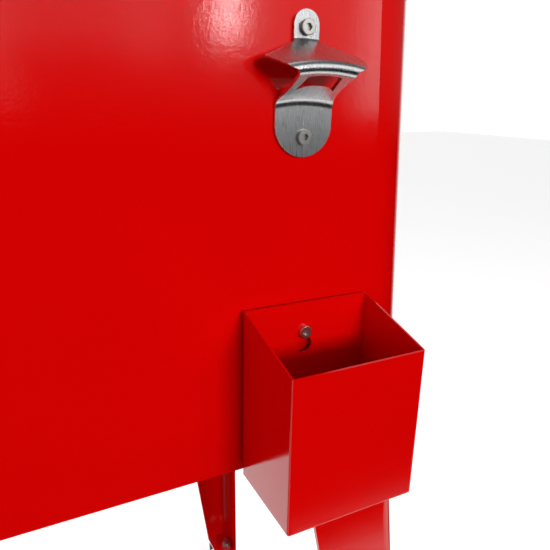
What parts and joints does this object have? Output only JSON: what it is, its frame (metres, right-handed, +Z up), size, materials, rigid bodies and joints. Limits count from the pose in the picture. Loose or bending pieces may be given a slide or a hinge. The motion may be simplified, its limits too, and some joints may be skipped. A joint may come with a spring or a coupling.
{
  "type": "soda cooler chest",
  "caption": "Insulated steel drinks chest on splayed caster legs, with hinged lids, wall bottle opener, hang-on cap catcher, side handles and a plugged drain.",
  "frame": {"origin": "on the floor at the centre of the footprint", "axes": "+Z up, +X to the chest's right seen from the front, front wall towards -Y"},
  "size_m": [0.8152, 0.5338, 0.9401],
  "materials": {
    "red_paint": "glossy powder coat with fine orange peel",
    "galvanised": "zinc plated",
    "foam": "closed-cell insulation",
    "liner_steel": "satin",
    "rim_steel": "polished",
    "screw_steel": "bright stainless",
    "opener_steel": "polished stainless",
    "brass": "plain",
    "black_plastic": "moulded",
    "seal_rubber": "matt",
    "chrome": "polished",
    "tyre_rubber": "matt"
  },
  "bodies": {
    "chest": {"outer_shell": "red_paint", "bottom_pan": "galvanised", "insulation_foam": "foam", "inner_liner": "liner_steel", "top_rim": "rim_steel", "lid_bridge": "rim_steel", "bridge_screws": "screw_steel", "bottle_opener": "opener_steel", "opener_screws": "screw_steel", "catcher_screw": "screw_steel", "catcher_spacer": "screw_steel", "drain_spout": "brass", "drain_nut": "brass", "handle_bolts": "screw_steel", "leg_bolts": "screw_steel", "caster_nuts": "screw_steel", "bridge_leaf_right": "rim_steel", "hinge_pin_right": "screw_steel", "side_handle_right": "chrome", "handle_brackets_right": "chrome", "bridge_leaf_left": "rim_steel", "hinge_pin_left": "screw_steel", "side_handle_left": "chrome", "handle_brackets_left": "chrome", "leg_front_right": "red_paint", "leg_front_left": "red_paint", "leg_rear_right": "red_paint", "leg_rear_left": "red_paint"},
    "lid_right": {"lid_skin_right": "red_paint", "lid_foam_right": "foam", "lid_panel_right": "liner_steel", "lid_seal_right": "seal_rubber", "lid_handle_right": "chrome", "lid_leaf_right": "rim_steel"},
    "lid_left": {"lid_skin_left": "red_paint", "lid_foam_left": "foam", "lid_panel_left": "liner_steel", "lid_seal_left": "seal_rubber", "lid_handle_left": "chrome", "lid_leaf_left": "rim_steel"},
    "catcher": {"cap_catcher": "red_paint", "catcher_bumpers": "seal_rubber"},
    "plug": {"drain_plug": "black_plastic"},
    "fork_front_right": {"caster_fork_front_right": "galvanised", "caster_axle_front_right": "screw_steel"},
    "wheel_front_right": {"caster_tyre_front_right": "tyre_rubber", "caster_hub_front_right": "black_plastic"},
    "fork_front_left": {"caster_fork_front_left": "galvanised", "caster_axle_front_left": "screw_steel"},
    "wheel_front_left": {"caster_tyre_front_left": "tyre_rubber", "caster_hub_front_left": "black_plastic"},
    "fork_rear_right": {"caster_fork_rear_right": "galvanised", "caster_axle_rear_right": "screw_steel"},
    "wheel_rear_right": {"caster_tyre_rear_right": "tyre_rubber", "caster_hub_rear_right": "black_plastic"},
    "fork_rear_left": {"caster_fork_rear_left": "galvanised", "caster_axle_rear_left": "screw_steel"},
    "wheel_rear_left": {"caster_tyre_rear_left": "tyre_rubber", "caster_hub_rear_left": "black_plastic"}
  },
  "joints": [
    {"name": "lid_right_hinge", "type": "hinge", "parent": "chest", "child": "lid_right", "pos_m": [0.033, 0, 0.9156], "axis": [0, -1, 0], "range_deg": [0, 90]},
    {"name": "lid_left_hinge", "type": "hinge", "parent": "chest", "child": "lid_left", "pos_m": [-0.033, 0, 0.9156], "axis": [0, 1, 0], "range_deg": [0, 90]},
    {"name": "catcher_lift", "type": "slide", "parent": "chest", "child": "catcher", "axis": [0, 0, 1], "range_m": [0, 0.009]},
    {"name": "drain_plug_pull", "type": "slide", "parent": "chest", "child": "plug", "axis": [-0.9986, 0, 0.0534], "range_m": [0, 0.04]},
    {"name": "swivel_front_right", "type": "hinge", "parent": "chest", "child": "fork_front_right", "pos_m": [0.3694, -0.209, 0.06], "axis": [0, 0, 1], "continuous": true},
    {"name": "roll_front_right", "type": "hinge", "parent": "fork_front_right", "child": "wheel_front_right", "pos_m": [0.3694, -0.1771, 0.026], "axis": [1, 0, 0], "continuous": true},
    {"name": "swivel_front_left", "type": "hinge", "parent": "chest", "child": "fork_front_left", "pos_m": [-0.3694, -0.209, 0.06], "axis": [0, 0, 1], "continuous": true},
    {"name": "roll_front_left", "type": "hinge", "parent": "fork_front_left", "child": "wheel_front_left", "pos_m": [-0.3694, -0.1771, 0.026], "axis": [1, 0, 0], "continuous": true},
    {"name": "swivel_rear_right", "type": "hinge", "parent": "chest", "child": "fork_rear_right", "pos_m": [0.3694, 0.209, 0.06], "axis": [0, 0, 1], "continuous": true},
    {"name": "roll_rear_right", "type": "hinge", "parent": "fork_rear_right", "child": "wheel_rear_right", "pos_m": [0.3694, 0.2409, 0.026], "axis": [1, 0, 0], "continuous": true},
    {"name": "swivel_rear_left", "type": "hinge", "parent": "chest", "child": "fork_rear_left", "pos_m": [-0.3694, 0.209, 0.06], "axis": [0, 0, 1], "continuous": true},
    {"name": "roll_rear_left", "type": "hinge", "parent": "fork_rear_left", "child": "wheel_rear_left", "pos_m": [-0.3694, 0.2409, 0.026], "axis": [1, 0, 0], "continuous": true}
  ]
}
